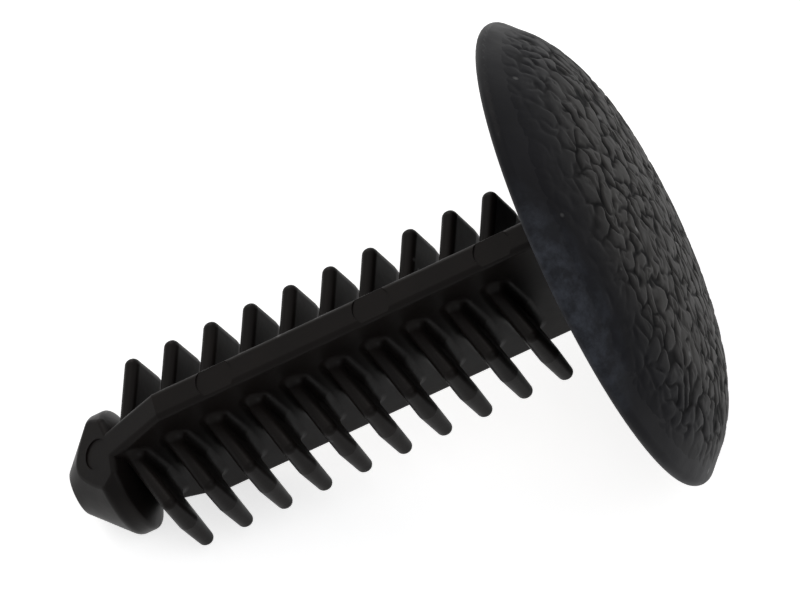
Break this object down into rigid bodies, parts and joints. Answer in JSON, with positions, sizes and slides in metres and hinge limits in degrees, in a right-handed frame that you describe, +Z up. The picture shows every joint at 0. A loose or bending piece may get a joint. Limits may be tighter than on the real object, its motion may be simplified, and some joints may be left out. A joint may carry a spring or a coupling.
{
  "type": "ribbed shank rivet",
  "caption": "Push-in trim rivet: a domed, leather-grained head over a flat shank with leaning ribs on both faces and a blunt conical nose.",
  "frame": {"origin": "middle of the bottom of its box, on the table it lies on", "axes": "+X from the nose to the head along the table, +Y square to the web's faces, +Z up; the shank's axis rises 19.8 degrees from +X towards the head"},
  "size_m": [0.0332, 0.025, 0.0236],
  "materials": {
    "black_plastic": "moulded black nylon, satin on the shank, leather grain on the head"
  },
  "bodies": {
    "root": {"ribbed_rivet": "black_plastic"}
  },
  "joints": []
}
